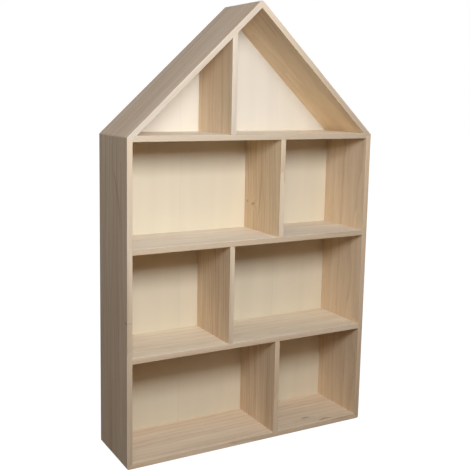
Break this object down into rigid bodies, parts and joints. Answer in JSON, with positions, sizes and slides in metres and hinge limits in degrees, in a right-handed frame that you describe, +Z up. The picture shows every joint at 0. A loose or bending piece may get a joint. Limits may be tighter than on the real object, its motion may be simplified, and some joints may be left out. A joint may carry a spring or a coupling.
{
  "type": "house-shaped wall shelf",
  "caption": "House-shaped wooden wall shelf: mitred outer frame with a pitched roof, three shelves and staggered dividers, thin plywood back with keyhole hangers.",
  "frame": {"origin": "centre of the base board's underside, midway between the boards' front and back edges", "axes": "+X right seen from the front, +Y towards the wall, +Z up"},
  "size_m": [0.4, 0.1066, 0.6414],
  "materials": {
    "paulownia_boards": "sanded, unfinished",
    "plywood_panel": "sanded, unfinished",
    "steel_pins": "bright",
    "zinc_plated_hangers": "zinc plated",
    "zinc_plated_screws": "zinc plated"
  },
  "bodies": {
    "root": {"left_side": "paulownia_boards", "right_side": "paulownia_boards", "base_board": "paulownia_boards", "left_roof_board": "paulownia_boards", "right_roof_board": "paulownia_boards", "attic_floor": "paulownia_boards", "upper_shelf": "paulownia_boards", "lower_shelf": "paulownia_boards", "attic_divider": "paulownia_boards", "upper_divider": "paulownia_boards", "middle_divider": "paulownia_boards", "lower_divider": "paulownia_boards", "back_panel": "plywood_panel", "base_pins": "steel_pins", "lower_shelf_pins": "steel_pins", "upper_shelf_pins": "steel_pins", "eave_pins": "steel_pins", "ridge_pins": "steel_pins", "lower_divider_pins": "steel_pins", "middle_divider_pins": "steel_pins", "upper_divider_pins": "steel_pins", "attic_divider_pins": "steel_pins", "back_panel_pins": "steel_pins", "left_hanger": "zinc_plated_hangers", "right_hanger": "zinc_plated_hangers", "hanger_screws": "zinc_plated_screws"}
  },
  "joints": []
}
